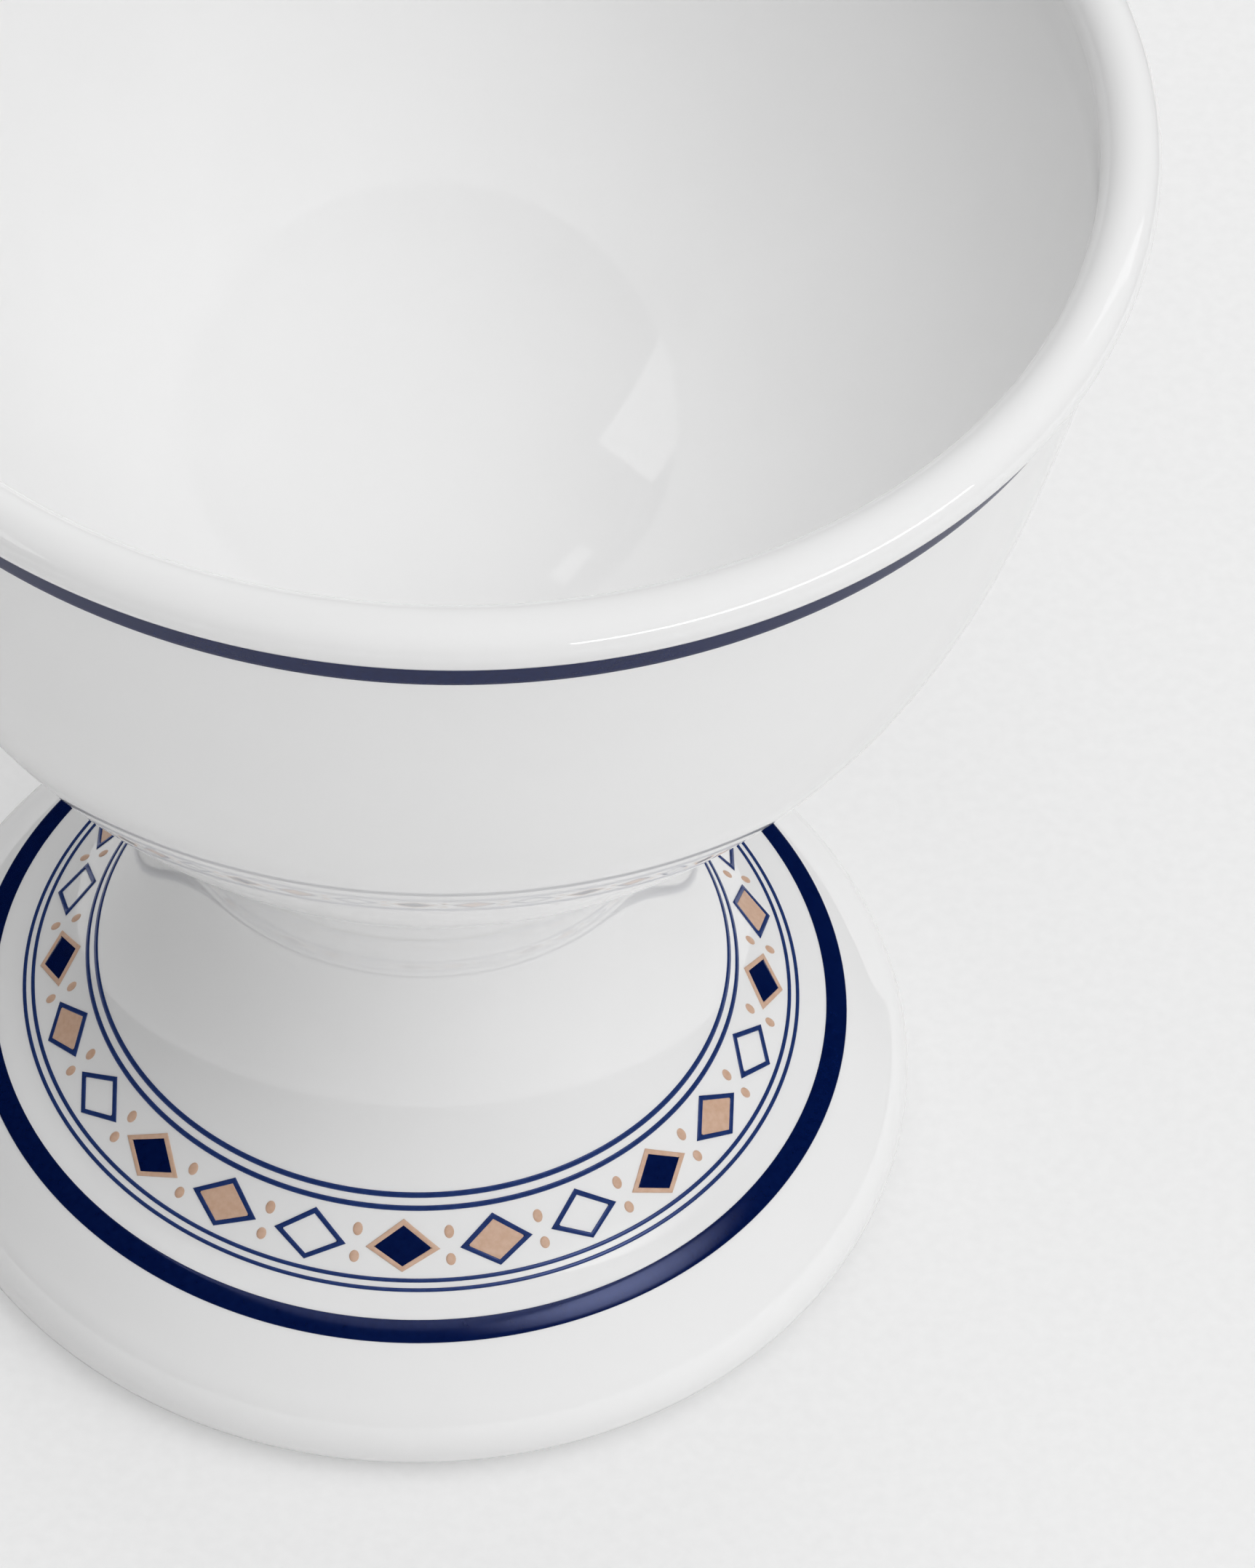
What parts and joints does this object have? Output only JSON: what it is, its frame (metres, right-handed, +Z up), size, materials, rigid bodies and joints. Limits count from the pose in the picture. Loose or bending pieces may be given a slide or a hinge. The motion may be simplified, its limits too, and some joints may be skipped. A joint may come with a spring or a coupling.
{
  "type": "egg cup",
  "caption": "Footed porcelain egg cup: a deep round bowl with a rolled lip, on a waisted stem that flares to a broad hollow foot with an enamelled lozenge border.",
  "frame": {"origin": "on the table surface, in the middle of the foot's standing ring", "axes": "+Z up along the cup's axis, from the foot to the lip; the cup is round, so X and Y are free, and a navy lozenge of the border lies on +X"},
  "size_m": [0.0534, 0.0534, 0.058],
  "materials": {
    "glazed_porcelain": "gloss",
    "fired_slip": "gloss",
    "navy_enamel": "gloss",
    "copper_enamel": "satin"
  },
  "bodies": {
    "root": {"bowl": "glazed_porcelain", "foot": "glazed_porcelain", "slip_joint": "fired_slip", "rim_line": "navy_enamel", "foot_band": "navy_enamel", "border_rings": "navy_enamel", "navy_lozenges": "navy_enamel", "copper_lozenges": "copper_enamel", "navy_outlines": "navy_enamel", "copper_outlines": "copper_enamel", "copper_dots": "copper_enamel"}
  },
  "joints": []
}
